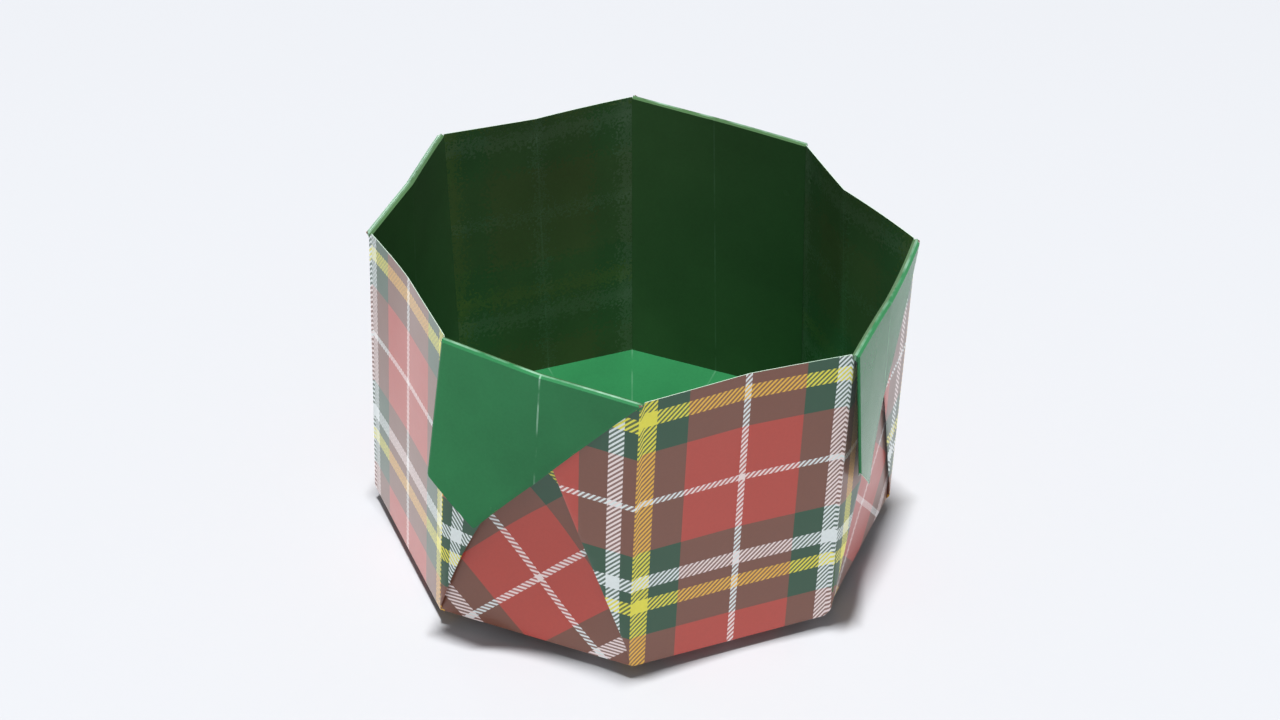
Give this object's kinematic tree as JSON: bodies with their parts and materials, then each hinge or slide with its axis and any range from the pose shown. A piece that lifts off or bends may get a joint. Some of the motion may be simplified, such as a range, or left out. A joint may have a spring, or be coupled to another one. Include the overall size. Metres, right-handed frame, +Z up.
{
  "type": "origami octagonal box",
  "caption": "Open octagonal box folded from one square sheet of tartan paper, with pleated corners and green flaps turned down outside the rim.",
  "frame": {"origin": "centre of the flat round under the floor, on which the box rests", "axes": "+Z up out of the open top; the plain walls face +X, -X, +Y and -Y, and the pleated walls lie between them"},
  "size_m": [0.0687, 0.0715, 0.0444],
  "materials": {
    "tartan_paper": "satin printed paper, tartan outside and plain green on the reverse"
  },
  "bodies": {
    "root": {"folded_sheet": "tartan_paper"}
  },
  "joints": []
}
